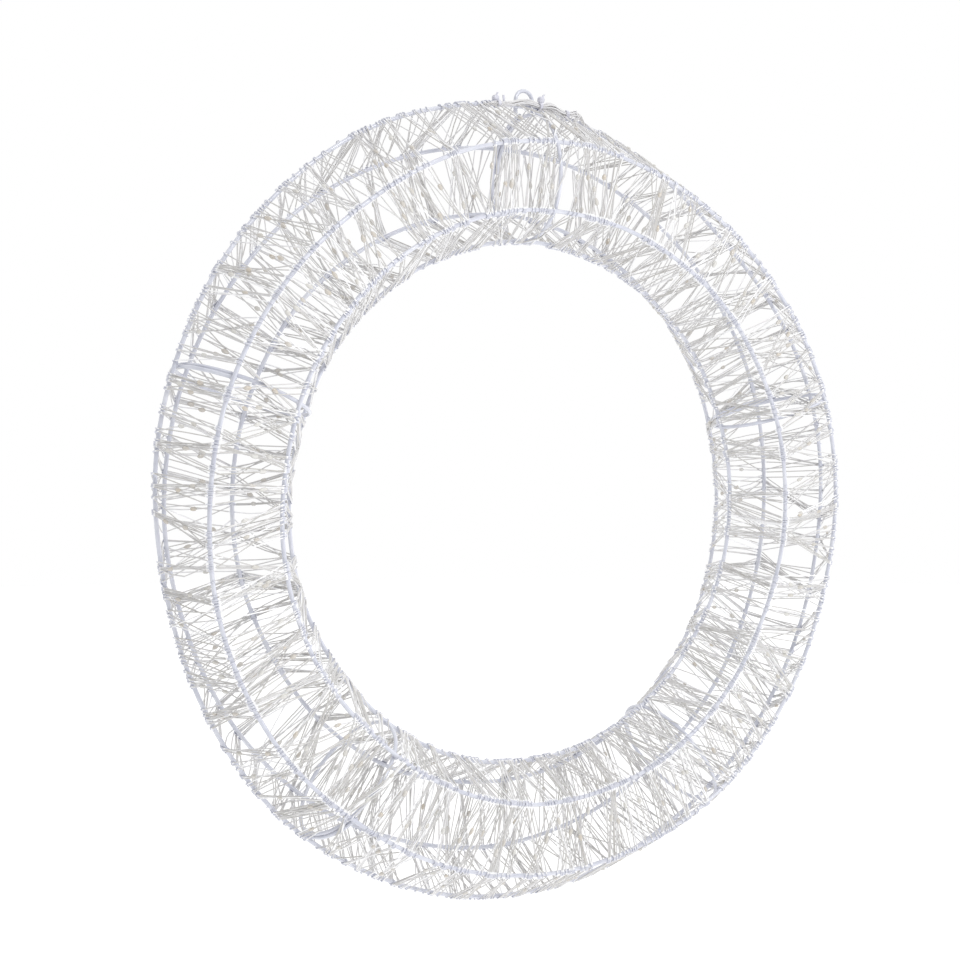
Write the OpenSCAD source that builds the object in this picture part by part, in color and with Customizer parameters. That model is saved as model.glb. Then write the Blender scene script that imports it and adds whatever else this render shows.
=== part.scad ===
// Lit wire wreath: a ring-shaped wire cage that hangs from a small eye, wound with lamp wire.
// The cage stands in the XZ plane with its front towards -Y.
// The origin is the seat of the hook, inside the top of the hanging eye.

/* [Cage] */
// Outside diameter over the outer ring wire
outer_d = 496; // [400:4:600]
// Outside diameter of the tube-shaped section, over the ring wires
section_d = 87; // [70:1:110]
// Diameter of the six ring wires
ring_wire_d = 2.6; // [2.2:0.1:4]
// Diameter of the wire of the section hoops
hoop_wire_d = 2.4; // [2:0.1:3.4]
// Depth that a spot weld sinks two crossing wires into each other
weld_sink = 0.3; // [0.1:0.05:0.5]
// Stretch over which the two ends of a hoop lie side by side, in degrees
hoop_lap = 70; // [30:5:120]

/* [Hanging eye] */
// Diameter of the wire of the eye
eye_wire_d = 2.5; // [1.8:0.1:3]
// Radius of the eye's arch, to the middle of the wire
eye_r = 6; // [5:0.5:9]
// Height of the arch's centre above the middle of the outer ring wire
eye_rise = 5.6; // [3:0.1:7]
// Length of the legs below the arch's centre
eye_leg = 9; // [7:0.1:11]

/* [Lamp wire] */
// Turns around the section in one pass around the wreath
pass_turns = 80; // [70:1:90]
// Angle around the wreath where the winding starts and ends, in degrees
wind_start = 82; // [78:1:86]
// Width of the flat lead of three wires, along the ring wires
lead_w = 2.2; // [1:0.1:2.4]
// Thickness of the flat lead
lead_t = 0.7; // [0.4:0.05:0.7]
// Height from one layer of winding to the next
layer_h = 0.85; // [0.85:0.05:1]
// Share of a turn's advance by which a crossing strays to either side
stray = 0.8; // [0:0.1:0.9]
// Spacing of the places where neighbouring turns are drawn together, in degrees
gather_gap = 3; // [2:0.5:9]
// Share of the way that a turn is drawn to its gathering place on the outer and inner rings
gather_pull = 0.45; // [0.2:0.05:0.6]
// Angle kept free on each side of a hoop, in degrees
hoop_clear = 2; // [1.9:0.1:2.4]

/* [Lamp drops] */
// Diameter of a resin drop
drop_d = 2.4; // [2:0.1:3]
// Length of a resin drop
drop_len = 3.8; // [3:0.1:5]

/* [Bundle and ties] */
// Diameter of the gathered slack of lamp wire at the top
bundle_d = 4.4; // [4:0.1:6]
// Height of the bundle above the front of the outer ring wire, as an angle around that wire
bundle_tilt = 30; // [0:5:45]
// Angle where the bundle ends on the left, in degrees
bundle_from = 95.8; // [95.6:0.1:98]
// Angle where the bundle ends on the right, in degrees
bundle_to = 81.2; // [79:0.1:82]
// Width of a cable tie's strap
strap_w = 2.5; // [2:0.1:3.5]
// Thickness of a cable tie's strap
strap_t = 1; // [0.8:0.1:1.3]
// Side of a cable tie's head
head_s = 4.2; // [3.5:0.1:5]
// Length of the cut end that stands out of a head
tail_len = 2.6; // [1:0.1:5]

/* [Hidden] */
HOOP_ANGLES = [90, 160, 232, 304, 17];
TIE_ANGLES = [95.2, 88, 83.4];
TIE_LEANS = [0, 12, -50];
RING_SIDES = 6;
ring_step = 360 / RING_SIDES;
section_r = (section_d - ring_wire_d) / 2;
ring_r = outer_d / 2 - ring_wire_d / 2 - section_r;
outer_wire_r = ring_r + section_r;
hoop_r = section_r - (ring_wire_d + hoop_wire_d) / 2 + weld_sink;
seat_h = outer_wire_r + eye_rise + eye_r - eye_wire_d / 2;
cage_y = -(ring_wire_d + eye_wire_d) / 2 + 0.25;
full_fn = 96;
wire_fn = 32;

// winding
lead_sections = 20;
passes = 2;
corners = passes * pass_turns * RING_SIDES;
corners_each = corners / lead_sections;
pitch = 360 / pass_turns;
lead_r0 = section_r + (ring_wire_d + lead_t) / 2 / cos(ring_step / 2);
lead_miter = lead_t / 2 / cos(ring_step / 2);
over_hoop_r = hoop_r + hoop_wire_d / 2 + lead_t / 2 + 0.1;
spans_a_drop = 2.5;
drops_each = floor(corners_each / spans_a_drop);

// bundle and ties
bundle_lead_r = bundle_d / 6;
bundle_lay_r = bundle_d / 3;
bundle_turns = 2.5;
bundle_rings = 40;
bundle_sides = 6;
bundle_off = (ring_wire_d + bundle_d) / 2;
bundle_waves = 6;
bundle_wave = 0.4;
strap_r = bundle_off + 0.2;
strap_off = strap_r - ring_wire_d / 2;

// ---- general -------------------------------------------------------------------------

// A repeatable scatter between -1 and 1 for a whole number.
function scatter(i) = let (s = sin(i * 77.7 + 12.3) * 4375.85) 2 * (s - floor(s)) - 1;

// An angle brought to between -180 and 180.
function near(a) = a - 360 * round(a / 360);

// Directions at angle a around the wreath and angle t around the section.
function along(a) = [-sin(a), 0, cos(a)];
function outward(a, t) = [cos(t) * cos(a), -sin(t), cos(t) * sin(a)];

// A point at radius r from the middle of the section; t is 0 outermost and 90 in front.
function on_section(a, t, r) = ring_r * [cos(a), 0, sin(a)] + r * outward(a, t);

// Everything on the cage is drawn about the wreath's centre, then hung from the eye's seat.
module hung() {
    translate([0, cage_y, -seat_h])
        children();
}

// Puts a child that is drawn about +Z at angle a on the outer ring wire: X stays along the
// wire, Z points away from the centre.
module on_outer_wire(a) {
    rotate([0, 90 - a, 0])
        translate([0, 0, outer_wire_r])
            children();
}

// A closed strip of rings of corners, each ring a list of the same number of points.
function strip_faces(rings, sides, base) = concat(
    [[for (s = [0:sides - 1]) base + s]],
    [for (k = [0:rings - 2], s = [0:sides - 1])
        let (n = (s + 1) % sides, lo = base + k * sides, hi = lo + sides)
        each [[lo + n, lo + s, hi + s], [lo + n, hi + s, hi + n]]],
    [[for (s = [sides - 1:-1:0]) base + (rings - 1) * sides + s]]);

// ---- cage ----------------------------------------------------------------------------

// One of the six ring wires, at step k of the section.
module ring_wire(k) {
    color("lavender")
        hung()
            translate([0, -section_r * sin(k * ring_step), 0])
                rotate([90, 0, 0])
                    rotate_extrude($fn = full_fn)
                        translate([ring_r + section_r * cos(k * ring_step), 0])
                            circle(d = ring_wire_d, $fn = wire_fn);
}

// A hoop at angle a: a closed ring whose second end runs on beside the first.
module hoop(a, lap_from) {
    color("lavender")
        hung()
            rotate([0, -a, 0])
                translate([ring_r, 0, 0]) {
                    rotate_extrude($fn = full_fn)
                        translate([hoop_r, 0])
                            circle(d = hoop_wire_d, $fn = wire_fn);
                    translate([0, 0, hoop_wire_d - 0.15])
                        rotate([0, 0, lap_from])
                            rotate_extrude(angle = hoop_lap, $fn = full_fn)
                                translate([hoop_r, 0])
                                    circle(d = hoop_wire_d, $fn = wire_fn);
                }
}

// The eye: an arch with two straight legs that are welded behind the outer ring wire.
module hanging_eye() {
    color("lavender")
        translate([0, 0, eye_wire_d / 2 - eye_r])
            rotate([90, 0, 0]) {
                rotate_extrude(angle = 180, $fn = full_fn)
                    translate([eye_r, 0])
                        circle(d = eye_wire_d, $fn = wire_fn);
                for (side = [-1, 1])
                    translate([side * eye_r, 0, 0])
                        rotate([90, 0, 0])
                            cylinder(d = eye_wire_d, h = eye_leg, $fn = wire_fn);
            }
}

// ---- lamp wire -----------------------------------------------------------------------

// Angle around the wreath at corner v: out once around, then back again.
function wound(v) = wind_start + pitch / RING_SIDES * (v <= corners / 2 ? v : corners - v);

// How far corner v strays; little where a turn ends, so that turns keep their order.
function strayed(v) = (v % RING_SIDES == 0 || v % RING_SIDES == RING_SIDES - 1 ? 0.4 : 1)
    * stray * pitch * scatter(v);

// Turns are drawn together at gathering places, most of all on the outer and inner rings.
function gathered(a, v) = let (
    shift = 17 * (v % RING_SIDES),
    place = (floor((a + shift) / gather_gap) + 0.5) * gather_gap - shift
) a + gather_pull * (v % 3 == 0 ? 1 : 0.4) * (place - a);

// What it takes to move angle a clear of the hoop at angle h.
function push(a, h) = let (d = near(a - h))
    abs(d) < hoop_clear ? (d < 0 ? -hoop_clear : hoop_clear) - d : 0;

// Angle of corner v around the wreath, clear of every hoop.
function corner_angle(v) = let (a = gathered(wound(v) + strayed(v), v))
    a + push(a, HOOP_ANGLES[0]) + push(a, HOOP_ANGLES[1]) + push(a, HOOP_ANGLES[2])
    + push(a, HOOP_ANGLES[3]) + push(a, HOOP_ANGLES[4]);

// Height of corner v above the innermost layer: each pass has two layers of its own.
function lift(v) = layer_h * (floor(v / RING_SIDES) % 2 + (v < corners / 2 ? 0 : 2));

// Stations of the lead as [angle around the wreath, angle around the section, radius].
function corner_station(v) = [corner_angle(v), ring_step * v, lead_r0 + lift(v)];

// The station where the span after corner v is bent over a hoop, if it crosses one.
function bent_stations(v) = let (a = corner_angle(v), b = corner_angle(v + 1))
    [for (h = HOOP_ANGLES)
        let (da = near(a - h), db = near(b - h))
        if (da * db < 0 && abs(da) < 30)
            [a - da, ring_step * (v + da / (da - db)), over_hoop_r + lift(v)]];

function lead_stations(first, last) = [
    for (v = [first:last])
        each concat([corner_station(v)], v < last ? bent_stations(v) : [])];

// The four corners of the lead's cross-section at station s.
function lead_ring(s) = let (
    p = on_section(s[0], s[1], s[2]),
    w = lead_w / 2 * along(s[0]),
    t = lead_miter * outward(s[0], s[1])
) [p - w - t, p - w + t, p + w + t, p + w - t];

// Section k of the lamp wire, from 0.
module lamp_wire(k) {
    stations = lead_stations(k * corners_each, (k + 1) * corners_each);
    color("gainsboro")
        hung()
            polyhedron(points = [for (s = stations) each lead_ring(s)],
                       faces = strip_faces(len(stations), 4, 0), convexity = 10);
}

// One resin drop about the origin, lying along Z.
module drop() {
    rotate_extrude($fn = wire_fn)
        polygon([[0, -drop_len / 2], [drop_d / 4, -drop_len / 2], [drop_d / 2, -drop_len / 6],
                 [drop_d / 2, drop_len / 6], [drop_d / 4, drop_len / 2], [0, drop_len / 2]]);
}

// The drops on section k of the lamp wire, each in the middle part of a span.
module lamp_drops(k) {
    color("tan")
        hung()
            for (i = [0:drops_each - 1]) {
                v = k * corners_each + floor(i * spans_a_drop);
                ends = lead_stations(v, v + 1);
                p = on_section(ends[0][0], ends[0][1], ends[0][2]);
                q = on_section(ends[1][0], ends[1][1], ends[1][2]);
                d = q - p;
                translate(p + (0.5 + 0.15 * scatter(v + 5000)) * d)
                    rotate([0, acos(d[2] / norm(d)), atan2(d[1], d[0])])
                        drop();
            }
}

// ---- bundle and ties -----------------------------------------------------------------

// Centre of the bundle at share u of its length; it waves a little between the ties.
function bundle_angle(u) = bundle_from + (bundle_to - bundle_from) * u;
function bundle_centre(u) = let (
    a = bundle_angle(u),
    rise = bundle_off * sin(bundle_tilt) + bundle_wave * (1 - cos(u * 360 * bundle_waves))
) (outer_wire_r + rise) * [cos(a), 0, sin(a)] - [0, bundle_off * cos(bundle_tilt), 0];

// Lead s of the bundle at share u: lead 0 in the middle, the others laid around it.
function bundle_lead(u, s) = let (t = s * 60 + u * 360 * bundle_turns)
    bundle_centre(u) + (s == 0 ? 0 : bundle_lay_r) * outward(bundle_angle(u), t);

module lead_bundle() {
    rings = bundle_rings * bundle_sides;
    color("silver")
        hung()
            polyhedron(
                points = [for (s = [0:6], k = [0:bundle_rings - 1], c = [0:bundle_sides - 1])
                    let (u = k / (bundle_rings - 1))
                    bundle_lead(u, s)
                    - bundle_lead_r * 0.97 * outward(bundle_angle(u), c * 360 / bundle_sides)],
                faces = [for (s = [0:6]) each strip_faces(bundle_rings, bundle_sides, s * rings)],
                convexity = 10);
}

// A cable tie around the outer ring wire and the bundle, its head leaning as TIE_LEANS says.
module cable_tie(k) {
    color("white")
        hung()
            on_outer_wire(TIE_ANGLES[k])
                translate(strap_off * [0, -cos(bundle_tilt), sin(bundle_tilt)])
                    rotate([TIE_LEANS[k], 0, 0]) {
                        rotate([0, 90, 0])
                            rotate_extrude($fn = full_fn)
                                translate([strap_r, -strap_w / 2])
                                    square([strap_t, strap_w]);
                        translate([-head_s / 2, -head_s / 2, strap_r + strap_t / 4])
                            cube([head_s, head_s, head_s * 0.8]);
                        translate([-strap_w / 2, head_s / 2 - strap_t - 0.6, strap_r + strap_t])
                            cube([strap_w, strap_t, head_s * 0.8 + tail_len]);
                    }
}

// ---- the model -----------------------------------------------------------------------

ring_wire(0);  // ring_outer
ring_wire(1);  // ring_front_outer
ring_wire(2);  // ring_front_inner
ring_wire(3);  // ring_inner
ring_wire(4);  // ring_back_inner
ring_wire(5);  // ring_back_outer
hoop(HOOP_ANGLES[0], 10);  // hoop_top
hoop(HOOP_ANGLES[1], -60);  // hoop_upper_left
hoop(HOOP_ANGLES[2], -60);  // hoop_lower_left
hoop(HOOP_ANGLES[3], 100);  // hoop_lower_right
hoop(HOOP_ANGLES[4], 40);  // hoop_upper_right
hanging_eye();
lead_bundle();
cable_tie(0);  // cable_tie_left
cable_tie(1);  // cable_tie_middle
cable_tie(2);  // cable_tie_right
lamp_wire(0);  // lamp_wire_01
lamp_wire(1);  // lamp_wire_02
lamp_wire(2);  // lamp_wire_03
lamp_wire(3);  // lamp_wire_04
lamp_wire(4);  // lamp_wire_05
lamp_wire(5);  // lamp_wire_06
lamp_wire(6);  // lamp_wire_07
lamp_wire(7);  // lamp_wire_08
lamp_wire(8);  // lamp_wire_09
lamp_wire(9);  // lamp_wire_10
lamp_wire(10);  // lamp_wire_11
lamp_wire(11);  // lamp_wire_12
lamp_wire(12);  // lamp_wire_13
lamp_wire(13);  // lamp_wire_14
lamp_wire(14);  // lamp_wire_15
lamp_wire(15);  // lamp_wire_16
lamp_wire(16);  // lamp_wire_17
lamp_wire(17);  // lamp_wire_18
lamp_wire(18);  // lamp_wire_19
lamp_wire(19);  // lamp_wire_20
lamp_drops(0);  // lamp_drops_01
lamp_drops(1);  // lamp_drops_02
lamp_drops(2);  // lamp_drops_03
lamp_drops(3);  // lamp_drops_04
lamp_drops(4);  // lamp_drops_05
lamp_drops(5);  // lamp_drops_06
lamp_drops(6);  // lamp_drops_07
lamp_drops(7);  // lamp_drops_08
lamp_drops(8);  // lamp_drops_09
lamp_drops(9);  // lamp_drops_10
lamp_drops(10);  // lamp_drops_11
lamp_drops(11);  // lamp_drops_12
lamp_drops(12);  // lamp_drops_13
lamp_drops(13);  // lamp_drops_14
lamp_drops(14);  // lamp_drops_15
lamp_drops(15);  // lamp_drops_16
lamp_drops(16);  // lamp_drops_17
lamp_drops(17);  // lamp_drops_18
lamp_drops(18);  // lamp_drops_19
lamp_drops(19);  // lamp_drops_20
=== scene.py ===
"""Looks for the lit wire wreath: a white wire cage, wound with lamp wire, that hangs from an eye.

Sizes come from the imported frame, and the winding follows the CAD model's rule, loosened a little.
Angles around the wreath are in degrees, 0 towards +X and 90 upwards. Angles around the tube-shaped
section are 0 outermost and 90 in front (-Y), unless a comment says otherwise.
"""
import math

import bmesh
import bpy
import numpy as np
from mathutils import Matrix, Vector


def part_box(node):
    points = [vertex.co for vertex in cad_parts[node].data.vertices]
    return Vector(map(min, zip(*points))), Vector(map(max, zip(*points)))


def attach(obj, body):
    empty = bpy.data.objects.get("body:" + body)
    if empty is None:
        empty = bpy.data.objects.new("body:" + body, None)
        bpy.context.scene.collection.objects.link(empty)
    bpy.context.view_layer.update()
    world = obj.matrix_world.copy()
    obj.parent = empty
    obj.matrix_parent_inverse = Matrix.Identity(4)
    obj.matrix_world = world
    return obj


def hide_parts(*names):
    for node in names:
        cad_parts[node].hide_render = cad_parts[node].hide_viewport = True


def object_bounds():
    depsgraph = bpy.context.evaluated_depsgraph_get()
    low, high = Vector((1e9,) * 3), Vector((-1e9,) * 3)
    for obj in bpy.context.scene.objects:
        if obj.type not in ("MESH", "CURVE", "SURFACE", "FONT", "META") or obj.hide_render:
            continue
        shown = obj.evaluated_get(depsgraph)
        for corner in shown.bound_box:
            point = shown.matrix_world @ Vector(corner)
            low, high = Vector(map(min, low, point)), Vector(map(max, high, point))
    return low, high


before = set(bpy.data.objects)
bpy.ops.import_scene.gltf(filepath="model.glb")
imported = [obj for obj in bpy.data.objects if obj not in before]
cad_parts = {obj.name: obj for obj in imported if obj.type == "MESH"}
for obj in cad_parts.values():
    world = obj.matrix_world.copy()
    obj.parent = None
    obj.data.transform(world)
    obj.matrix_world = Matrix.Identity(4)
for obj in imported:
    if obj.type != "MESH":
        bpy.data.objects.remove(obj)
cad_low, cad_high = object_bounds()
rng = np.random.default_rng(11)

# ---- sizes and places -----------------------------------------------------------------

MM = 0.001
BACK = np.array([0, 1, 0])

# The six ring wires in the order in which the lamp wire crosses them; each hoop's angle around the
# wreath, and where on its section its ends lap; and each tie's angle, and how far its head leans
# to the front.
RINGS = ["ring_outer", "ring_front_outer", "ring_front_inner",
         "ring_inner", "ring_back_inner", "ring_back_outer"]
HOOPS = {"hoop_top": (90, 10), "hoop_upper_left": (160, -60), "hoop_lower_left": (232, -60),
         "hoop_lower_right": (304, 100), "hoop_upper_right": (17, 40)}
TIES = {"cable_tie_left": (95.1, 0), "cable_tie_middle": (88.1, 12), "cable_tie_right": (83.5, -50)}


def extent(node):
    """Lowest and highest corner of a CAD node, as arrays."""
    low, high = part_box(node)
    return np.array(low), np.array(high)


def half_size(node):
    """Half of what a CAD node measures along each axis."""
    low, high = extent(node)
    return (high - low) / 2


CENTRE = sum(extent("ring_outer")) / 2
WIRE_R = half_size("ring_outer")[1]
RING_RADII = [half_size(ring)[0] - WIRE_R for ring in RINGS]
RING_R = (RING_RADII[0] + RING_RADII[3]) / 2
SECTION_R = (RING_RADII[0] - RING_RADII[3]) / 2

# A hoop's wire runs on for HOOP_LAP degrees beside its first end. It eases aside over HOOP_EASE
# degrees, from HOOP_EASE_FROM on.
HOOP_WIRE_R = 1.2 * MM
HOOP_LAP = 70
HOOP_EASE_FROM = 270
HOOP_EASE = 85
HOOP_R = half_size("hoop_top")[2] - HOOP_WIRE_R

EYE_WIRE_R = half_size("hanging_eye")[1]
EYE_R = half_size("hanging_eye")[0] - EYE_WIRE_R
EYE_FOOT, EYE_TOP = (corner[2] for corner in extent("hanging_eye"))

# How far each hand-bent ring wire strays from its circle, in millimetres, at ten stations
# around the wreath: at each hoop and midway between hoops.
STATIONS = np.array([17, 53, 90, 125, 160, 196, 232, 268, 304, 340], float)
STRAY = np.array([
    [-1.6, -12.7, 1.3, 3.9, 0.7, -3.3, 0.0, 0.8, -2.0, -2.5],
    [0.5, -5.5, -3.3, -5.0, 0.5, 4.0, 1.0, 1.1, 2.1, 0.5],
    [-2.0, -3.6, -3.2, 0.0, 0.8, 1.1, -1.6, -0.4, -0.5, -1.6],
    [1.6, 1.8, 1.9, 1.7, 1.1, 0.8, 0.8, 1.1, 1.1, 1.0],
    [-1.6, 0.0, 1.1, 1.4, 1.0, -1.0, -1.4, -0.8, 0.0, -1.2],
    [0.2, 0.4, 1.4, 0.8, 1.1, -1.0, -1.6, -1.1, -1.9, -0.8]]) * MM

# Where ring wire 0 is closed by a butt joint, and the step from there to the next ring wire's.
JOINT_FROM = 35
JOINT_STEP = 61
JOINT_SWELL = 0.22 * MM
JOINT_REACH = 1.6 * MM

# Winding of the lamp wire: turns around the wreath and back again, with a corner on each ring
# wire. Corners stray by a share of the pitch, less on the outer and back outer ring wires. They
# are drawn a little to places GATHER_GAP degrees apart, less on all but the outer and inner ring
# wires, and keep HOOP_CLEAR degrees from a hoop. Some turns of the way back lie beside one of the
# way out, LEAD_W to the side.
PASSES = 2
PASS_TURNS = 80
CORNERS = PASSES * PASS_TURNS * len(RINGS)
LEAD_NODES = 20
CORNERS_EACH = CORNERS // LEAD_NODES
WIND_START = 82
PITCH = 360 / PASS_TURNS
STRAY_SHARE = 0.8
EDGE_STRAY = 0.4
GATHER_GAP = 3
GATHER_SHIFT = 17
GATHER_PULL = 0.25
FREE_GATHER = 0.4
FOLLOW_SHARE = 0.2
LEAD_W = 2.2 * MM
HOOP_CLEAR = 2

# One wire of the lead. The turns lie on the ring wires in four layers, LAYER apart, with a
# scatter. A span between two ring wires has points at SPAN_SHARES of its length.
LEAD_R = 0.37 * MM
LAYER = 0.14 * MM
LAYER_SCATTER = 0.2 * MM
SPAN_SHARES = (0.05, 0.25, 0.5, 0.75, 0.95)

# Lanes -1, 0 and 1 of the lead run side by side. Lane 0 is made last, and carries the drops. At
# some corners a wire parts from its place, by PART_LEAST to PART_MOST millimetres, mostly to its
# own side. Lanes 2 and 3 run loose, by about LOOSE_STRAY millimetres, and lane 3 is there only
# within BELOW_REACH degrees of the bottom. LANE_WAVER is in millimetres too.
LANES = (-1, 1, 2, 0)
LANES_BELOW = (-1, 1, 2, 3, 0)
BELOW_REACH = 60
LANE_GAP = 2.05 * LEAD_R
LOOSE_STRAY = 5.5
PART_CHANCE = 0.45
PART_KEEP_CHANCE = 0.5
OWN_SIDE_CHANCE = 0.7
PART_LEAST = 0.8
PART_MOST = 5.2
LANE_WAVER = 0.06

# Chance that a wire goes once around the outer or inner ring wire, or one of the others.
EDGE_LOOP_CHANCE = 0.05
LOOP_CHANCE = 0.02
LOOP_ADVANCE = 1.3 * MM

# Spans between corners, in millimetres: most bow a little to the side and some bow more.
BOW = 0.4
WIDE_BOW = 2.0
WIDE_BOW_CHANCE = 0.22
SAG = 0.25

# Tones along a wire, for its material: the lead's own grey-beige on the spans, with a random
# scatter;
# some spans painted white as a painted highlight; and a painted highlight in the ring wires' bluish
# white where the lead bends over a ring wire.
SPAN_TONE = 0.15
SPAN_TONE_RANGE = 0.1
SPAN_TONE_SCATTER = 0.045
HIGHLIGHT_SPAN_TONE = 0.25
HIGHLIGHT_SPAN_CHANCE = 0.12
# Tone of the painted highlight, in the ring wires' bluish white, where the lead bends over a ring
# wire.
BEND_HIGHLIGHT_TONE = 1.0

# Resin drops on the middle wire of the lead, spread over DROP_SPREAD of a span to either side of
# its middle.
SPANS_A_DROP = 1.5
DROP_SPREAD = 0.3
DROP_D = 2.5 * MM
DROP_LEN = 4.4 * MM

# First seeds of the repeatable scatters.
FOLLOW_SEED = 300
STRAND_SEED = 1000
DROP_PLACE_SEED = 5000
DROP_SHAPE_SEED = 7000


# ---- helpers --------------------------------------------------------------------------

def unit(v):
    """Vectors scaled to length one."""
    v = np.asarray(v, float)
    return v / np.maximum(np.linalg.norm(v, axis=-1, keepdims=True), 1e-12)


def near(angle):
    """An angle brought to between -180 and 180 degrees."""
    return angle - 360 * np.round(np.asarray(angle, float) / 360)


def cubic(x, xs, ys, period):
    """Smooth periodic curve through (xs, ys)."""
    x = np.asarray(x, float)
    n = len(xs)
    i = (np.searchsorted(xs, np.mod(x - xs[0], period) + xs[0], side="right") - 1) % n
    x0 = xs[i]
    gap = np.mod(xs[(i + 1) % n] - x0 - 1e-9, period) + 1e-9
    t = np.mod(x - x0, period) / gap
    before = np.mod(x0 - xs[(i - 1) % n] - 1e-9, period) + 1e-9
    after = np.mod(xs[(i + 2) % n] - xs[(i + 1) % n] - 1e-9, period) + 1e-9
    y0, y1 = ys[i], ys[(i + 1) % n]
    m0 = (y1 - ys[(i - 1) % n]) / (gap + before) * gap
    m1 = (ys[(i + 2) % n] - y0) / (gap + after) * gap
    return ((2 * t**3 - 3 * t**2 + 1) * y0 + (t**3 - 2 * t**2 + t) * m0
            + (-2 * t**3 + 3 * t**2) * y1 + (t**3 - t**2) * m1)


def radial(phi):
    """Direction away from the wreath's centre at angle phi."""
    a = np.radians(phi)
    return np.stack([np.cos(a), np.zeros_like(a), np.sin(a)], -1)


def along(phi):
    """Direction along the ring wires at angle phi."""
    a = np.radians(phi)
    return np.stack([-np.sin(a), np.zeros_like(a), np.cos(a)], -1)


def ring_point(k, phi):
    """Point on the middle of ring wire k, with its hand-bent stray."""
    phi = np.asarray(phi, float)
    a = np.radians(phi)
    rho = RING_RADII[k] + cubic(phi, STATIONS, STRAY[k], 360)
    rho = rho + 0.35 * MM * np.sin(7 * a + k) + 0.2 * MM * np.sin(13 * a + 2 * k)
    y = -SECTION_R * math.sin(math.radians(60 * k)) + 0.6 * MM * np.sin(3 * a + 1.7 * k)
    return CENTRE + rho[..., None] * radial(phi) + y[..., None] * BACK


def tube_centre(phi):
    """Middle of the tube-shaped section at angle phi."""
    return CENTRE + RING_R * radial(phi)


def tube_faces(count, sides, closed=False):
    """Faces of a tube made of count rings of vertices; an open one gets an end cap each way."""
    faces = []
    for ring in range(count if closed else count - 1):
        a = ring * sides
        b = (ring + 1) % count * sides
        faces += [(a + s, a + (s + 1) % sides, b + (s + 1) % sides, b + s) for s in range(sides)]
    if not closed:
        faces.append(tuple(range(sides - 1, -1, -1)))
        faces.append(tuple((count - 1) * sides + s for s in range(sides)))
    return faces


def sweep(points, radius, sides=6, closed=False, normal=None, squash=1.0):
    """Vertices and faces of a tube along points; the ends of an open one are rounded off."""
    points = np.asarray(points, float)
    radius = np.broadcast_to(radius, len(points)).astype(float)
    if not closed:
        first, last = unit(points[0] - points[1]), unit(points[-1] - points[-2])
        points = np.vstack([points[:1] + 0.5 * radius[0] * first, points,
                            points[-1:] + 0.5 * radius[-1] * last])
        radius = np.concatenate([[radius[0] * 0.55], radius, [radius[-1] * 0.55]])
    ahead = np.roll(points, -1, 0) - points
    behind = points - np.roll(points, 1, 0)
    if not closed:
        ahead[-1], behind[0] = behind[-1], ahead[0]
    tangent = unit(unit(ahead) + unit(behind))
    frames = np.empty_like(points)
    n = np.cross(tangent[0], [0.31, 0.87, 0.22]) if normal is None else np.asarray(normal, float)
    for i, t in enumerate(tangent):
        n = n - t * (n @ t)
        n = n / (math.sqrt(n @ n) + 1e-15)
        frames[i] = n
    side = np.cross(tangent, frames)
    angle = np.arange(sides) * 2 * np.pi / sides
    bend = 1 / np.maximum(np.sqrt((1 + (unit(ahead) * unit(behind)).sum(1)) / 2), 0.7)
    spread = (frames[:, None] * np.cos(angle)[None, :, None]
              + squash * side[:, None] * np.sin(angle)[None, :, None])
    verts = points[:, None] + spread * (radius * (1 + 0.5 * (bend - 1)))[:, None, None]
    return verts.reshape(-1, 3), tube_faces(len(points), sides, closed)


class Shape:
    """Collects tubes and solids for one object, each with a tone for its material."""

    def __init__(self):
        self.verts = []
        self.faces = []
        self.tones = []
        self.count = 0

    def add(self, made, tone=0.5):
        """Adds vertices and faces; tone is one value, or one for each point of an open tube."""
        verts, faces = made
        self.faces += [tuple(i + self.count for i in f) for f in faces]
        self.verts.append(np.asarray(verts))
        if np.ndim(tone):
            padded = np.concatenate([tone[:1], tone, tone[-1:]])
            tone = np.repeat(padded, len(verts) // len(padded))
        self.tones.append(np.broadcast_to(tone, len(verts)))
        self.count += len(verts)

    def build(self, name, material, nodes=()):
        """Makes the object, which rides on the wreath and stands for the CAD nodes given."""
        mesh = bpy.data.meshes.new(name)
        mesh.from_pydata(np.vstack(self.verts).tolist(), [], self.faces)
        mesh.polygons.foreach_set("use_smooth", [True] * len(mesh.polygons))
        tone = mesh.attributes.new("tone", "FLOAT", "POINT")
        tone.data.foreach_set("value", np.concatenate(self.tones))
        mesh.materials.append(material)
        mesh.update()
        obj = bpy.data.objects.new(name, mesh)
        bpy.context.scene.collection.objects.link(obj)
        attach(obj, "root")
        if nodes:
            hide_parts(*nodes)
        return obj


# ---- materials ------------------------------------------------------------------------

def new_material(name, roughness, coat=0.0):
    """A node material with its Principled shader ready for colour and bump."""
    mat = bpy.data.materials.new(name)
    mat.use_nodes = True
    shader = mat.node_tree.nodes["Principled BSDF"]
    shader.inputs["Roughness"].default_value = roughness
    shader.inputs["Coat Weight"].default_value = coat
    return mat, mat.node_tree, shader


def noise(tree, scale, detail=3.0):
    """A noise pattern in the row's own metres."""
    coords = tree.nodes.new("ShaderNodeTexCoord")
    node = tree.nodes.new("ShaderNodeTexNoise")
    node.inputs["Scale"].default_value = scale
    node.inputs["Detail"].default_value = detail
    tree.links.new(coords.outputs["Object"], node.inputs["Vector"])
    return node.outputs["Fac"]


def ramp(tree, source, stops):
    """Colours by position along a value."""
    node = tree.nodes.new("ShaderNodeValToRGB")
    tree.links.new(source, node.inputs["Fac"])
    node.color_ramp.elements[0].position = stops[0][0]
    node.color_ramp.elements[0].color = (*stops[0][1], 1)
    node.color_ramp.elements[1].position = stops[-1][0]
    node.color_ramp.elements[1].color = (*stops[-1][1], 1)
    for place, colour in stops[1:-1]:
        node.color_ramp.elements.new(place).color = (*colour, 1)
    return node.outputs["Color"]


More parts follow.
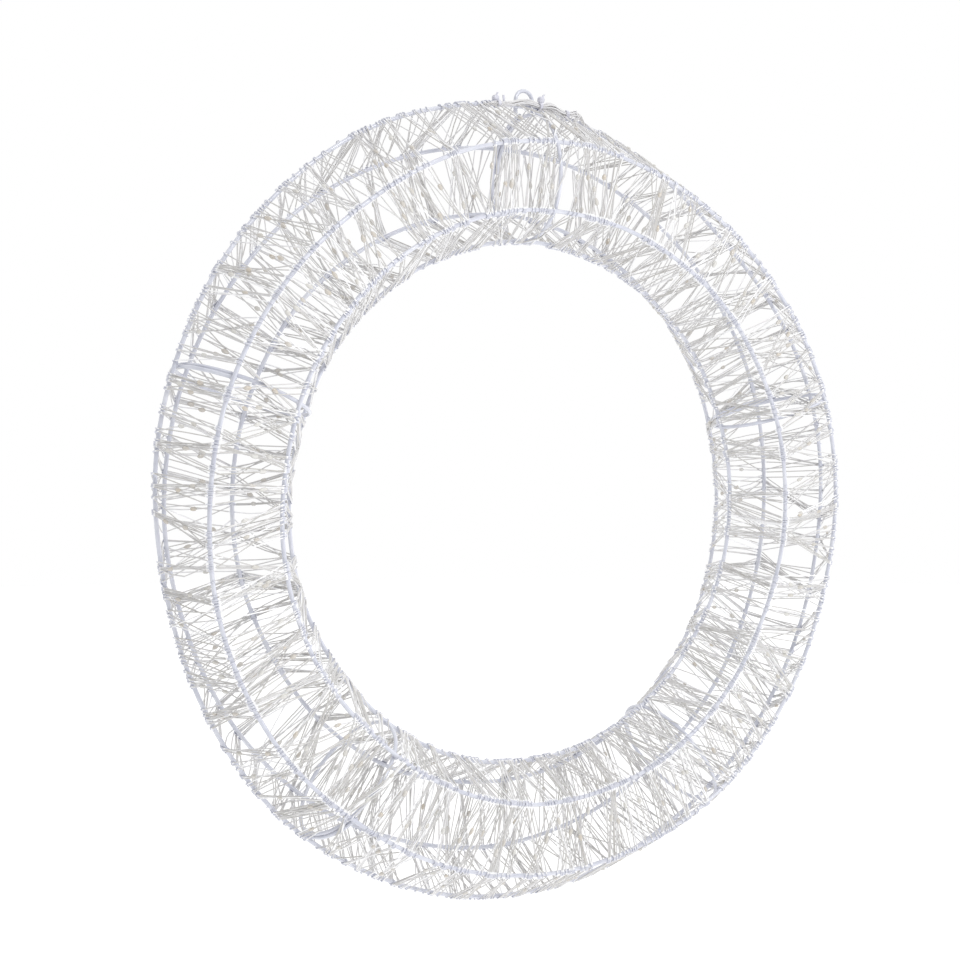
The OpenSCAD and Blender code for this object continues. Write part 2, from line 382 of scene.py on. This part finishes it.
def add_bump(tree, shader, source, strength, distance):
    """Fine relief on a shader."""
    node = tree.nodes.new("ShaderNodeBump")
    node.inputs["Strength"].default_value = strength
    node.inputs["Distance"].default_value = distance
    tree.links.new(source, node.inputs["Height"])
    tree.links.new(node.outputs["Normal"], shader.inputs["Normal"])


def coat_material():
    """Bluish white powder coat, a little uneven, with orange peel."""
    mat, tree, shader = new_material("cage_coat", 0.26, 0.6)
    tint = ramp(tree, noise(tree, 55), [(0.3, (0.57, 0.585, 0.67)), (0.5, (0.65, 0.665, 0.745)),
                                        (0.75, (0.76, 0.77, 0.83))])
    tree.links.new(tint, shader.inputs["Base Color"])
    add_bump(tree, shader, noise(tree, 900, 2), 0.25, 0.00015)
    return mat


def mottled_tone(tree, pattern, share):
    """The mesh's own tone, with a share of a pattern added."""
    tone = tree.nodes.new("ShaderNodeAttribute")
    tone.attribute_name = "tone"
    mixed = tree.nodes.new("ShaderNodeMath")
    mixed.operation = "MULTIPLY_ADD"
    mixed.inputs[1].default_value = share
    tree.links.new(pattern, mixed.inputs[0])
    tree.links.new(tone.outputs["Fac"], mixed.inputs[2])
    return mixed.outputs["Value"]


def lead_material():
    """Milky insulation of the lamp wire; its tone goes from its own grey-beige to painted
    highlights: white, then pale blue.
    """
    mat, tree, shader = new_material("lamp_lead", 0.36, 0.2)
    # Tones up to about 0.3 are the insulation's own grey-beige; the white and pale blue stops above
    # are painted highlights.
    tint = ramp(tree, mottled_tone(tree, noise(tree, 140, 4), 0.175),
                [(0.125, (0.55, 0.535, 0.51)), (0.275, (0.665, 0.655, 0.65)),
                 (0.4, (0.79, 0.785, 0.80)), (0.5, (0.97, 0.97, 0.98)),
                 (0.75, (0.97, 0.97, 0.98)), (0.9, (0.70, 0.71, 0.785))])
    tree.links.new(tint, shader.inputs["Base Color"])
    add_bump(tree, shader, noise(tree, 1500, 2), 0.2, 0.0001)
    return mat


def drop_material():
    """Cloudy resin, beige to yellowish, with a glossy skin."""
    mat, tree, shader = new_material("drop_resin", 0.18, 0.5)
    tint = ramp(tree, mottled_tone(tree, noise(tree, 420, 3), 0.5),
                [(0.15, (0.64, 0.565, 0.465)), (0.32, (0.60, 0.56, 0.51)),
                 (0.6, (0.62, 0.595, 0.555)), (1.0, (0.70, 0.69, 0.665))])
    tree.links.new(tint, shader.inputs["Base Color"])
    add_bump(tree, shader, noise(tree, 700, 2), 0.3, 0.0002)
    return mat


def nylon_material():
    """Natural nylon of the cable ties."""
    mat, tree, shader = new_material("tie_nylon", 0.42, 0.1)
    tint = ramp(tree, noise(tree, 260), [(0.3, (0.60, 0.60, 0.68)), (0.7, (0.71, 0.71, 0.78))])
    tree.links.new(tint, shader.inputs["Base Color"])
    add_bump(tree, shader, noise(tree, 1200, 2), 0.2, 0.0001)
    return mat


COAT = coat_material()
LEAD = lead_material()
DROP = drop_material()
NYLON = nylon_material()


# ---- cage -----------------------------------------------------------------------------

def blob(centre, size, axis, sides=10, rings=6):
    """A rounded bead at centre: size is its half width and, along axis, its half length."""
    half_width, half_length = size
    axis = unit(axis)
    across = unit(np.cross(axis, [0.3, 0.8, 0.5]))
    other = np.cross(axis, across)
    angle = np.arange(sides) * 2 * np.pi / sides
    verts = [centre - axis * half_length]
    for i in range(1, rings):
        lat = -np.pi / 2 + np.pi * i / rings
        ring = np.outer(np.cos(angle), across) + np.outer(np.sin(angle), other)
        middle = centre + math.sin(lat) * half_length * axis
        verts.extend(middle + math.cos(lat) * half_width * ring)
    verts.append(centre + axis * half_length)
    faces = [(0, 1 + (s + 1) % sides, 1 + s) for s in range(sides)]
    for i in range(rings - 2):
        a, b = 1 + i * sides, 1 + (i + 1) * sides
        faces += [(a + s, a + (s + 1) % sides, b + (s + 1) % sides, b + s) for s in range(sides)]
    a, top = 1 + (rings - 2) * sides, len(verts) - 1
    faces += [(a + s, a + (s + 1) % sides, top) for s in range(sides)]
    return np.array(verts), faces


def make_ring(k):
    """Ring wire k, with a slightly swollen butt joint where it was closed."""
    phi = np.arange(0, 360, 0.75)
    from_joint = near(phi - JOINT_FROM - JOINT_STEP * k) * np.pi / 180 * RING_RADII[k]
    swell = JOINT_SWELL * np.exp(-(from_joint / JOINT_REACH) ** 2)
    shape = Shape()
    shape.add(sweep(ring_point(k, phi), WIRE_R + swell, 14, closed=True, normal=(0, 1, 0)))
    shape.build(RINGS[k] + "_wire", COAT, [RINGS[k]])


def hoop_point(angle, theta, lapped):
    """Point on a hoop at angle around the wreath; theta is 0 outermost and 90 behind.

    Where lapped is 1 the wire lies beside, and a little inside, its other end.
    """
    t = np.radians(theta)
    reach = HOOP_R + 0.25 * MM * np.sin(3 * t + angle) - 1.2 * HOOP_WIRE_R * lapped
    beside = (1.6 * HOOP_WIRE_R * lapped)[:, None] * along(angle)
    return (tube_centre(angle) + (reach * np.cos(t))[:, None] * radial(angle)
            + (reach * np.sin(t))[:, None] * BACK - beside)


def make_hoop(name):
    """A hoop of one wire whose second end runs on beside the first."""
    angle, lap_from = HOOPS[name]
    theta = np.arange(0, 360 + HOOP_LAP + 0.1, 2.5)
    ease = np.clip((theta - HOOP_EASE_FROM) / HOOP_EASE, 0, 1)
    shape = Shape()
    shape.add(sweep(hoop_point(angle, theta + lap_from, ease**2 * (3 - 2 * ease)), HOOP_WIRE_R, 14))
    shape.build(name + "_wire", COAT, [name])


def make_welds():
    """Small beads where the hoops cross the ring wires."""
    shape = Shape()
    for name, (angle, _) in HOOPS.items():
        for k in range(6):
            wire = ring_point(k, np.array(float(angle)))
            inward = unit(tube_centre(angle) - wire)
            shape.add(blob(wire + inward * WIRE_R * 0.9, (1.15 * MM, 1.9 * MM), along(angle)))
            shape.add(blob(wire + inward * WIRE_R, (1.1 * MM, 1.8 * MM),
                           np.cross(inward, along(angle))))
    shape.build("spot_welds", COAT)


def make_eye():
    """The hanging eye: an arch whose legs run down behind the outer ring wire."""
    arch = np.radians(np.arange(0, 181, 7.5))
    top = EYE_TOP - EYE_WIRE_R - EYE_R
    bow = [(EYE_R * math.cos(a), 0, top + EYE_R * math.sin(a)) for a in arch]
    legs = np.linspace(EYE_FOOT + EYE_WIRE_R * 0.5, top, 6)[:-1]
    right = [(EYE_R * (1 + 0.02 * i), 0, z) for i, z in enumerate(legs)]
    left = [(-EYE_R * (1 + 0.02 * i), 0, z) for i, z in enumerate(legs)]
    shape = Shape()
    shape.add(sweep(np.array(right + bow + left[::-1]), EYE_WIRE_R, 14, normal=(0, 1, 0)))
    for x in (-EYE_R, EYE_R):
        at = ring_point(0, np.array(90 - math.degrees(x / RING_RADII[0])))
        shape.add(blob(np.array([x, -EYE_WIRE_R * 0.8, at[2]]), (1.2 * MM, 1.9 * MM), (0, 0, 1)))
    shape.build("hanging_eye_wire", COAT, ["hanging_eye"])


# ---- lamp wire ------------------------------------------------------------------------

def scatter(i):
    """A repeatable scatter between -1 and 1 for a whole number, as on the CAD model."""
    s = np.sin(np.radians(np.asarray(i, float) * 77.7 + 12.3)) * 4375.85
    return 2 * (s - np.floor(s)) - 1


def own_angle(v):
    """Where corner v of the winding falls by itself: a little off, and gathered with others."""
    k = v % 6
    wound = WIND_START + PITCH / 6 * np.where(v <= CORNERS // 2, v, CORNERS - v)
    edge = (k == 0) | (k == 5)
    a = wound + np.where(edge, EDGE_STRAY, 1.0) * STRAY_SHARE * PITCH * scatter(v)
    shift = GATHER_SHIFT * k
    place = (np.floor((a + shift) / GATHER_GAP) + 0.5) * GATHER_GAP - shift
    return a + GATHER_PULL * np.where(k % 3 == 0, 1.0, FREE_GATHER) * (place - a)


def corner_angle(v):
    """Angle around the wreath of corner v: its own, or beside the lead that its turn follows."""
    turn = v // 6
    partner = (PASSES * PASS_TURNS - 1 - turn) * 6 + v % 6
    way_back = (v >= CORNERS // 2) & (v < CORNERS)
    follows = way_back & (scatter(turn + FOLLOW_SEED) < 2 * FOLLOW_SHARE - 1)
    a = np.where(follows, own_angle(partner) + np.degrees(LEAD_W / RING_R), own_angle(v))
    for hoop, _ in HOOPS.values():
        d = near(a - hoop)
        a = a + np.where(abs(d) < HOOP_CLEAR, np.where(d < 0, -HOOP_CLEAR, HOOP_CLEAR) - d, 0)
    return a


ANGLES = corner_angle(np.arange(-1, CORNERS + 2))


def over_hoops(start, end, phi0, phi1, lift):
    """Points where a span from start to end is bent over a hoop it crosses, with their shares."""
    bent = []
    for hoop, _ in HOOPS.values():
        d0, d1 = near(phi0 - hoop), near(phi1 - hoop)
        if d0 * d1 < 0 and abs(d0) < 30:
            share = d0 / (d0 - d1)
            arm = start + share * (end - start) - tube_centre(hoop)
            reach = HOOP_R + HOOP_WIRE_R + LEAD_R + lift
            bent.append((share, tube_centre(hoop) + arm * max(1.0, reach / np.linalg.norm(arm))))
    return bent


def strand_offsets(lane, count, local):
    """How far a wire of the lead runs to one side of the lead's middle, at each corner.

    Lanes -1, 0 and 1 run side by side and part here and there; the others run loose.
    """
    if abs(lane) > 1:
        return local.normal(0, LOOSE_STRAY, count) * MM
    apart = local.random(count) < PART_CHANCE
    for i in range(1, count):
        if local.random() < PART_KEEP_CHANCE:
            apart[i] = apart[i - 1]
    own_side = lane if lane else 1
    side = np.where(local.random(count) < OWN_SIDE_CHANCE, own_side, -own_side)
    reach = PART_LEAST + (PART_MOST - PART_LEAST) * local.random(count)
    splay = np.where(apart, side * reach, 0) * MM
    return lane * LANE_GAP + splay + local.normal(0, LANE_WAVER, count) * MM


def turned_over(wire, arms, reach, axis, full, advance):
    """Points of a wire laid over a ring wire: a short arc, or first once around if full."""
    points = []
    if full:
        lateral = np.cross(axis, arms[0])
        lateral = lateral if arms[1] @ lateral > 0 else -lateral
        for step in range(0, 361, 45):
            a = math.radians(step)
            points.append(wire + (arms[0] * math.cos(a) + lateral * math.sin(a)) * (WIRE_R + LEAD_R)
                          + axis * advance * step / 360)
        wire = wire + axis * advance
    for share in (0, 0.33, 0.67, 1):
        points.append(wire + reach * unit((1 - share) * arms[0] + share * arms[1]))
    return points


def strand_route(first, last, lane, seed):
    """Route of one wire of the lead from corner first to last, its tones, and its spans' points."""
    local = np.random.default_rng(seed)
    count = last - first + 3
    corners = np.arange(first - 1, last + 2)
    offset = strand_offsets(lane, count, local)
    layers = corners // 6 % 2 + 2 * (first >= CORNERS // 2)
    lifts = LAYER * layers + local.random(count) * LAYER_SCATTER
    phis = ANGLES[first:last + 3] + np.degrees(offset / RING_R)
    centres = [ring_point(v % 6, phi) for v, phi in zip(corners, phis)]
    base = SPAN_TONE + SPAN_TONE_RANGE * local.random()
    route = []
    tones = []
    spans = {}
    for i in range(1, count - 1):
        k = corners[i] % 6
        arm = centres[i] - tube_centre(phis[i])
        lines = [unit(centres[j] - centres[i]) for j in (i - 1, i + 1)]
        arms = [unit(arm - line * (arm @ line)) for line in lines]
        full = local.random() < (EDGE_LOOP_CHANCE if k in (0, 3) else LOOP_CHANCE)
        corner = turned_over(centres[i], arms, WIRE_R + LEAD_R + lifts[i], along(phis[i]), full,
                             local.choice([-1, 1]) * LOOP_ADVANCE)
        route += corner
        # Where it bends over a ring wire the lead is painted the ring wire's bluish white: a
        # painted highlight.
        tones += [BEND_HIGHLIGHT_TONE] * len(corner)
        if i == count - 2:
            break
        start = route[-1]
        arm = centres[i + 1] - tube_centre(phis[i + 1])
        outward = unit(arm - lines[1] * (arm @ lines[1]))
        end = centres[i + 1] + (WIRE_R + LEAD_R + lifts[i + 1]) * outward
        bow = local.normal(0, WIDE_BOW if local.random() < WIDE_BOW_CHANCE else BOW) * MM
        sag = abs(local.normal(0, SAG)) * MM
        inner = [(u, start + u * (end - start) + math.sin(math.pi * u)
                  * (bow * along(phis[i]) - sag * arms[1])) for u in SPAN_SHARES]
        bent = over_hoops(start, end, phis[i], phis[i + 1], lifts[i])
        if bent:
            inner = [p for p in inner if abs(p[0] - bent[0][0]) > 0.3]
        inner = [p[1] for p in sorted(inner + bent, key=lambda p: p[0])]
        spans[corners[i]] = [start] + inner + [end]
        route += inner
        # Some spans are painted white: a painted highlight, not the insulation's own colour.
        white = local.random() < HIGHLIGHT_SPAN_CHANCE
        tone = base + (HIGHLIGHT_SPAN_TONE if white else local.normal(0, SPAN_TONE_SCATTER))
        tones += [tone] * len(inner)
    return np.array(route), np.array(tones), spans


def drop_shape(centre, axis, seed):
    """One resin drop: a lopsided bead that tapers into the wire at both ends."""
    local = np.random.default_rng(seed)
    length = DROP_LEN * (0.85 + 0.35 * local.random())
    width = DROP_D / 2 * (0.85 + 0.3 * local.random())
    along_it = np.linspace(-1, 1, 9)
    lopsided = 1 + 0.15 * along_it * local.choice([-1, 1])
    fat = np.clip(1 - np.abs(along_it) ** 2.4, 0, 1) ** 0.6 * lopsided
    radius = np.maximum(width * fat, LEAD_R * 0.9)
    axis = unit(axis)
    aside = unit(np.cross(axis, local.normal(size=3)))
    points = centre + np.outer(along_it * length / 2, axis) + aside * 0.25 * MM
    return sweep(points, radius, 9, squash=0.8)


def make_lamp_wire(node):
    """Section number node of the lamp wire, counted from 0, and the drops on it."""
    first = node * CORNERS_EACH
    wires = Shape()
    drops = Shape()
    below = abs(near(ANGLES[first + CORNERS_EACH // 2] - 270)) < BELOW_REACH
    for lane in LANES_BELOW if below else LANES:
        seed = STRAND_SEED + 10 * node + lane
        route, tones, spans = strand_route(first, first + CORNERS_EACH, lane, seed)
        wires.add(sweep(route, LEAD_R, 6), tones)
    for i in range(int(CORNERS_EACH / SPANS_A_DROP)):
        v = first + int(i * SPANS_A_DROP)
        line = np.array(spans[v])
        steps = np.linalg.norm(np.diff(line, axis=0), axis=1)
        reach = np.concatenate([[0], np.cumsum(steps)])
        place = (0.5 + DROP_SPREAD * scatter(v + DROP_PLACE_SEED)) * reach[-1]
        at = np.array([np.interp(place, reach, line[:, c]) for c in range(3)])
        drops.add(drop_shape(at, line[-1] - line[0], DROP_SHAPE_SEED + v), tone=rng.random() * 0.8)
    name = "%02d" % (node + 1)
    wires.build("lamp_wire_%s_leads" % name, LEAD, ["lamp_wire_" + name])
    drops.build("lamp_drops_%s_resin" % name, DROP, ["lamp_drops_" + name])


# ---- bundle and ties ------------------------------------------------------------------

# The bundle: angle around the wreath, rise of its middle above the outer ring wire, and radius, the
# last two in millimetres. Its wires curl down at BUNDLE_CURL. STUB_ASIDE is how many degrees the
# thin strap end stands from the left tie.
BUNDLE = np.array([(96.0, 0.2, 1.2), (94.2, 0.2, 1.4), (93.0, 0.6, 1.8), (91.2, 2.5, 1.8),
                   (89.7, 2.7, 1.8), (88.5, 1.8, 1.6), (87.6, 1.6, 1.7), (86.8, 3.2, 2.2),
                   (85.8, 3.4, 2.4), (84.6, 1.6, 2.3), (83.9, 0.9, 2.0), (83.3, 1.6, 1.5),
                   (82.7, 3.2, 1.9), (82.0, 4.4, 2.2)])
BUNDLE_FRONT = 3.1 * MM
BUNDLE_WIRES = 18
BUNDLE_FROM = 95.9
BUNDLE_TO = 82.0
BUNDLE_CURL = 81.5
STRAP_T = 0.8 * MM
STUB_ASIDE = 1.1


def bundle_centre(phi):
    """Middle of the bundle at angle phi, waving above the front of the outer ring wire."""
    phi = np.asarray(phi, float)
    rise = np.mean([np.interp(-(phi + d), -BUNDLE[:, 0], BUNDLE[:, 1]) for d in (-0.4, 0, 0.4)], 0)
    return ring_point(0, phi) + (rise * MM)[..., None] * radial(phi) - BUNDLE_FRONT * BACK


def bundle_radius(phi):
    """Radius of the bundle at angle phi, pinched at the ties."""
    return np.interp(-phi, -BUNDLE[:, 0], BUNDLE[:, 2]) * MM


def bundle_end(local, s):
    """Where wire s goes after the bundle: it curls down the front and joins the windings."""
    phi = BUNDLE_CURL + 0.3 * local.normal()
    curl = ring_point(0, phi) + 3.4 * MM * radial(phi) - (3.2 + 1.2 * local.random()) * MM * BACK
    below = ring_point(0, phi + 0.5) - 1.2 * MM * radial(phi)
    below = below - (2.6 + 0.8 * local.random()) * MM * BACK
    if s % 3 == 0:
        goal = 77 - 5 * local.random()
        wire = ring_point(0, goal)
        return [curl, ring_point(0, phi - 1.2) - 2.4 * MM * BACK,
                wire - 1.8 * MM * BACK, wire - 1.9 * MM * radial(goal)]
    goal = 81 + 4.5 * local.normal()
    wire = ring_point(1, goal)
    out = unit(wire - tube_centre(goal))
    return [curl, below, 0.5 * (below + wire) + 1.2 * MM * out, wire + 1.8 * MM * out,
            wire - 1.9 * MM * radial(goal)]


def bundle_start(local):
    """Where a wire comes from before the bundle: out of the windings below the left tie."""
    phi = 96.5 + 2.5 * local.random()
    wire = ring_point(1, phi + 2.5 * local.normal())
    out = unit(wire - tube_centre(phi))
    return [wire + 1.8 * MM * out, ring_point(0, phi) - 2.2 * MM * BACK - 1.0 * MM * radial(phi)]


def make_bundle():
    """Gathered slack: many wires side by side, pinched by the ties, that curl down at the end."""
    shape = Shape()
    local = np.random.default_rng(5)
    phi = np.linspace(BUNDLE_FROM, BUNDLE_TO, 60)
    middle = bundle_centre(phi)
    radius = bundle_radius(phi)
    for s in range(BUNDLE_WIRES):
        far = radius * math.sqrt((s + 0.5) / BUNDLE_WIRES) * 0.88
        turn = s * 2.4 + np.radians((96 - phi) * (6 + 9 * local.random()))
        drift = 0.2 * MM * np.sin(phi * (0.8 + local.random()) + s)
        points = (middle + (far * np.cos(turn) + drift)[:, None] * radial(phi)
                  + (far * np.sin(turn))[:, None] * BACK)
        before = bundle_start(local) if s % 4 == 1 else []
        skip = 0 if before else local.integers(0, 12)
        route = np.array(before + list(points[skip:]) + bundle_end(local, s))
        shape.add(sweep(route, LEAD_R * 1.1, 6), tone=0.175 + 0.175 * local.random())
    shape.build("lead_bundle_slack", LEAD, ["lead_bundle"])


def belt(points, width, thick, aside):
    """A flat strap along a closed or open list of points, with softened edges."""
    points = np.asarray(points)
    ahead = np.gradient(points, axis=0)
    normal = unit(np.cross(ahead, aside))
    profile = [(-0.5, -0.3), (-0.42, -0.5), (0.42, -0.5), (0.5, -0.3),
               (0.5, 0.3), (0.42, 0.5), (-0.42, 0.5), (-0.5, 0.3)]
    verts = np.array([p + w * width * aside + t * thick * n for p, n in zip(points, normal)
                      for w, t in profile])
    return verts, tube_faces(len(points), len(profile))


def rounded_box(centre, axes, size, radius):
    """A box with rounded edges; axes are its three directions."""
    made = bmesh.new()
    bmesh.ops.create_cube(made, size=1)
    for v in made.verts:
        v.co = Vector((v.co.x * size[0], v.co.y * size[1], v.co.z * size[2]))
    bmesh.ops.bevel(made, geom=list(made.edges), offset=radius, segments=3, affect="EDGES",
                    profile=0.5)
    made.verts.index_update()
    verts = np.array([v.co for v in made.verts])
    faces = [tuple(v.index for v in f.verts) for f in made.faces]
    made.free()
    return centre + verts @ np.array(axes), faces


def make_tie(name):
    """A cable tie: strap around the ring wire and the bundle, ratchet head, cut tail.

    Beside the left one stands the thin end of a strap.
    """
    angle, lean = TIES[name]
    out = radial(angle)
    aside = along(angle)
    hugged = [(ring_point(0, angle), WIRE_R + 0.7 * MM),
              (bundle_centre(angle), bundle_radius(angle) + 0.4 * MM)]
    up = out * math.cos(math.radians(lean)) - BACK * math.sin(math.radians(lean))
    front = np.cross(aside, up)
    loop = []
    for t in np.radians(np.arange(-150, 211, 10)):
        n = up * math.cos(t) + front * math.sin(t)
        centre, r = max(hugged, key=lambda h: h[0] @ n + h[1])
        loop.append(centre + r * n)
    shape = Shape()
    shape.add(belt(loop, 2.1 * MM, STRAP_T, aside))
    centre, r = max(hugged, key=lambda h: h[0] @ up + h[1])
    head = centre + up * (r + 1.7 * MM)
    axes = (aside, front, up)
    shape.add(rounded_box(head, axes, (3.9 * MM, 3.7 * MM, 3.2 * MM), 0.9 * MM))
    shape.add(rounded_box(head + up * 1.5 * MM, axes, (2.7 * MM, 2.5 * MM, 0.9 * MM), 0.3 * MM))
    shape.add(rounded_box(head - up * 1.7 * MM, axes, (2.4 * MM, 2.6 * MM, 1.8 * MM), 0.5 * MM))
    root = head - up * 1.2 * MM - front * 0.4 * MM
    tail = [root + up * d * MM - aside * 0.07 * MM * d * d for d in np.arange(0, 5.3, 0.6)]
    shape.add(belt(tail, 1.4 * MM, 0.7 * MM, aside))
    if name == "cable_tie_left":
        stub = ring_point(0, angle - STUB_ASIDE) - BACK * 1.9 * MM - out * 0.8 * MM
        upright = [stub + out * d * MM for d in np.arange(0, 7.2, 0.8)]
        shape.add(belt(upright, 1.5 * MM, STRAP_T, aside))
    shape.build(name + "_nylon", NYLON, [name])


# ---- the wreath -----------------------------------------------------------------------

for ring_number in range(len(RINGS)):
    make_ring(ring_number)
for hoop_name in HOOPS:
    make_hoop(hoop_name)
make_welds()
make_eye()
for section in range(LEAD_NODES):
    make_lamp_wire(section)
make_bundle()
for tie_name in TIES:
    make_tie(tie_name)


# ---- floor, light and camera ----------------------------------------------------------

FLOOR_BELOW = 0.35
FLOOR_R = 6

# Directions in degrees: azimuth is negative to the left of the front. The distance is in
# multiples of RING_R.
CAMERA_AZIMUTH = -32.4
CAMERA_ELEVATION = 2.9
CAMERA_DISTANCE = 5.6
CAMERA_LENS = 68.1
CAMERA_SHIFT = (-0.0477, 0.0254)

# Strength of the surroundings behind the wreath and in front of it, where FRONT points, and how
# much brighter they are overhead.
FRONT = (-0.53, -0.84, 0.1)
BEHIND_LEVEL = 1.0
FRONT_LEVEL = 0.36
OVERHEAD_EXTRA = 0.3


def make_floor():
    """A round pale floor well below the hanging wreath."""
    mesh = bpy.data.meshes.new("floor")
    z = cad_low[2] - FLOOR_BELOW
    corners = [(FLOOR_R * math.cos(a), FLOOR_R * math.sin(a), z)
               for a in np.radians(np.arange(0, 360, 7.5))]
    mesh.from_pydata(corners, [], [tuple(range(len(corners)))])
    floor = bpy.data.objects.new("floor", mesh)
    bpy.context.scene.collection.objects.link(floor)
    mat, tree, shader = new_material("floor_white", 0.9)
    tint = ramp(tree, noise(tree, 1.5), [(0.3, (0.93, 0.93, 0.93)), (0.7, (0.96, 0.96, 0.96))])
    tree.links.new(tint, shader.inputs["Base Color"])
    shader.inputs["Emission Color"].default_value = (1, 1, 1, 1)
    shader.inputs["Emission Strength"].default_value = 0.2
    mesh.materials.append(mat)


def make_light(name, place, size, power, colour):
    """A soft square light that faces the middle of the wreath."""
    data = bpy.data.lights.new(name, "AREA")
    data.size = size
    data.energy = power
    data.color = colour
    light = bpy.data.objects.new(name, data)
    light.location = Vector(CENTRE) + Vector(place)
    aim = Vector(CENTRE) - light.location
    light.rotation_mode = "QUATERNION"
    light.rotation_quaternion = aim.to_track_quat("-Z", "Y")
    bpy.context.scene.collection.objects.link(light)


def smooth_range(tree, source, low, high, at_low, at_high):
    """A value that goes smoothly from at_low to at_high as the source goes from low to high."""
    node = tree.nodes.new("ShaderNodeMapRange")
    node.interpolation_type = "SMOOTHSTEP"
    node.inputs["From Min"].default_value = low
    node.inputs["From Max"].default_value = high
    node.inputs["To Min"].default_value = at_low
    node.inputs["To Max"].default_value = at_high
    tree.links.new(source, node.inputs["Value"])
    return node.outputs["Result"]


def combine(tree, operation, first, second):
    """Two values combined by a math operation."""
    node = tree.nodes.new("ShaderNodeMath")
    node.operation = operation
    tree.links.new(first, node.inputs[0])
    tree.links.new(second, node.inputs[1])
    return node.outputs["Value"]


def make_world():
    """White surroundings: they light the wreath most from behind, and look plain white."""
    world = bpy.data.worlds.new("studio")
    world.use_nodes = True
    tree = world.node_tree
    shade = tree.nodes["Background"]
    shade.inputs["Color"].default_value = (1, 1, 1, 1)
    direction = tree.nodes.new("ShaderNodeTexCoord").outputs["Generated"]
    split = tree.nodes.new("ShaderNodeSeparateXYZ")
    facing = tree.nodes.new("ShaderNodeVectorMath")
    facing.operation = "DOT_PRODUCT"
    facing.inputs[1].default_value = FRONT
    tree.links.new(direction, split.inputs[0])
    tree.links.new(direction, facing.inputs[0])
    level = smooth_range(tree, facing.outputs["Value"], -0.3, 0.9, BEHIND_LEVEL, FRONT_LEVEL)
    sky = smooth_range(tree, split.outputs["Z"], 0.35, 0.9, 0.0, OVERHEAD_EXTRA)
    lit = combine(tree, "ADD", level, sky)
    seen = tree.nodes.new("ShaderNodeLightPath").outputs["Is Camera Ray"]
    tree.links.new(combine(tree, "MAXIMUM", lit, seen), shade.inputs["Strength"])
    bpy.context.scene.world = world


def make_camera():
    """Camera in front, to the left of the wreath and a little above its middle."""
    azimuth = math.radians(CAMERA_AZIMUTH)
    elevation = math.radians(CAMERA_ELEVATION)
    back = Vector((math.sin(azimuth) * math.cos(elevation),
                   -math.cos(azimuth) * math.cos(elevation), math.sin(elevation)))
    data = bpy.data.cameras.new("camera")
    data.sensor_width = 36
    data.lens = CAMERA_LENS
    data.shift_x, data.shift_y = CAMERA_SHIFT
    camera = bpy.data.objects.new("camera", data)
    camera.rotation_mode = "QUATERNION"
    camera.location = Vector(CENTRE) + back * CAMERA_DISTANCE * RING_R
    camera.rotation_quaternion = (-back).to_track_quat("-Z", "Y")
    bpy.context.scene.collection.objects.link(camera)
    bpy.context.scene.camera = camera


make_floor()
make_world()
make_light("key", (0.15, -1.45, 0.95), 0.6, 11, (1, 1, 1))
make_light("fill", (1.3, -0.9, 0.2), 0.9, 1.5, (0.96, 0.98, 1))
make_camera()
bpy.context.scene.view_settings.view_transform = "Standard"
bpy.context.scene.view_settings.look = "None"
